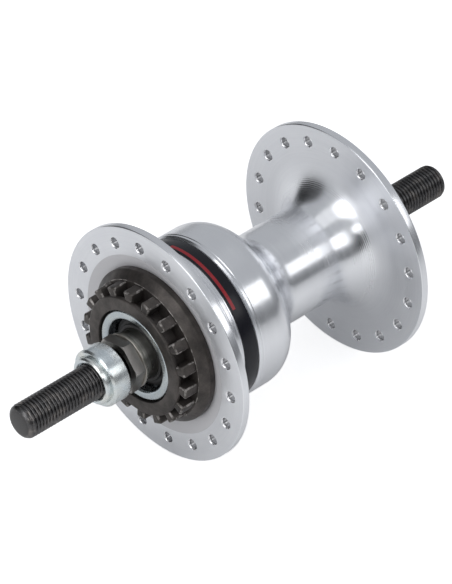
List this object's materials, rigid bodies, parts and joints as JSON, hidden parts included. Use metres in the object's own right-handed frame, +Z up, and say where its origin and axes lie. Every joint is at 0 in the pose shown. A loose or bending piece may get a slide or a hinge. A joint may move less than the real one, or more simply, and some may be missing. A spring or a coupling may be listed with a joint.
{
  "type": "bicycle hub",
  "caption": "Front wheel hub with a nutted axle, cup-and-cone ball bearings, two drilled spoke flanges and a toothed boss for a drum brake.",
  "frame": {"origin": "on the axle's axis at the middle of the axle's length", "axes": "+Y along the axle from the brake side to the plain side, +Z up, +X completes the set"},
  "size_m": [0.063, 0.14, 0.063],
  "materials": {
    "axle_steel": "black oxide, cut thread",
    "zinc_plate": "bright zinc plate",
    "dark_steel": "dark phosphate, matt",
    "race_steel": "ground and hardened",
    "ball_steel": "polished",
    "seal_rubber": "moulded",
    "shell_aluminium": "turned and polished",
    "label_film": "glossy film with a red edge stripe"
  },
  "bodies": {
    "axle_set": {"axle": "axle_steel", "left_washer": "dark_steel", "left_locknut": "dark_steel", "left_cone": "race_steel", "left_seal": "seal_rubber", "right_cone": "race_steel", "right_seal": "seal_rubber", "right_washer": "zinc_plate", "right_locknut": "zinc_plate"},
    "hub": {"hub_shell": "shell_aluminium", "brake_spline_boss": "dark_steel", "label_band": "label_film", "left_cup": "race_steel", "right_cup": "race_steel", "left_dust_cap": "zinc_plate", "right_dust_cap": "zinc_plate"},
    "left_ball_set": {"left_ball_cage": "race_steel", "left_ball_01": "ball_steel", "left_ball_02": "ball_steel", "left_ball_03": "ball_steel", "left_ball_04": "ball_steel", "left_ball_05": "ball_steel", "left_ball_06": "ball_steel", "left_ball_07": "ball_steel", "left_ball_08": "ball_steel", "left_ball_09": "ball_steel", "left_ball_10": "ball_steel"},
    "right_ball_set": {"right_ball_cage": "race_steel", "right_ball_01": "ball_steel", "right_ball_02": "ball_steel", "right_ball_03": "ball_steel", "right_ball_04": "ball_steel", "right_ball_05": "ball_steel", "right_ball_06": "ball_steel", "right_ball_07": "ball_steel", "right_ball_08": "ball_steel", "right_ball_09": "ball_steel", "right_ball_10": "ball_steel"},
    "brake_nut": {"brake_fixing_nut": "zinc_plate"}
  },
  "joints": [
    {"name": "hub_spin", "type": "hinge", "parent": "axle_set", "child": "hub", "pos_m": [0, 0, 0], "axis": [0, 1, 0], "continuous": true},
    {"name": "left_ball_set_roll", "type": "hinge", "parent": "axle_set", "child": "left_ball_set", "pos_m": [0, -0.025, 0], "axis": [0, 1, 0], "continuous": true},
    {"name": "right_ball_set_roll", "type": "hinge", "parent": "axle_set", "child": "right_ball_set", "pos_m": [0, 0.0362, 0], "axis": [0, 1, 0], "continuous": true},
    {"name": "brake_nut_travel", "type": "slide", "parent": "axle_set", "child": "brake_nut", "axis": [0, -1, 0], "range_m": [-0.0016, 0.0295]}
  ],
  "couplings": [
    {"joint": "left_ball_set_roll", "follows": "hub_spin", "ratio": 0.5886},
    {"joint": "right_ball_set_roll", "follows": "hub_spin", "ratio": 0.5886}
  ]
}
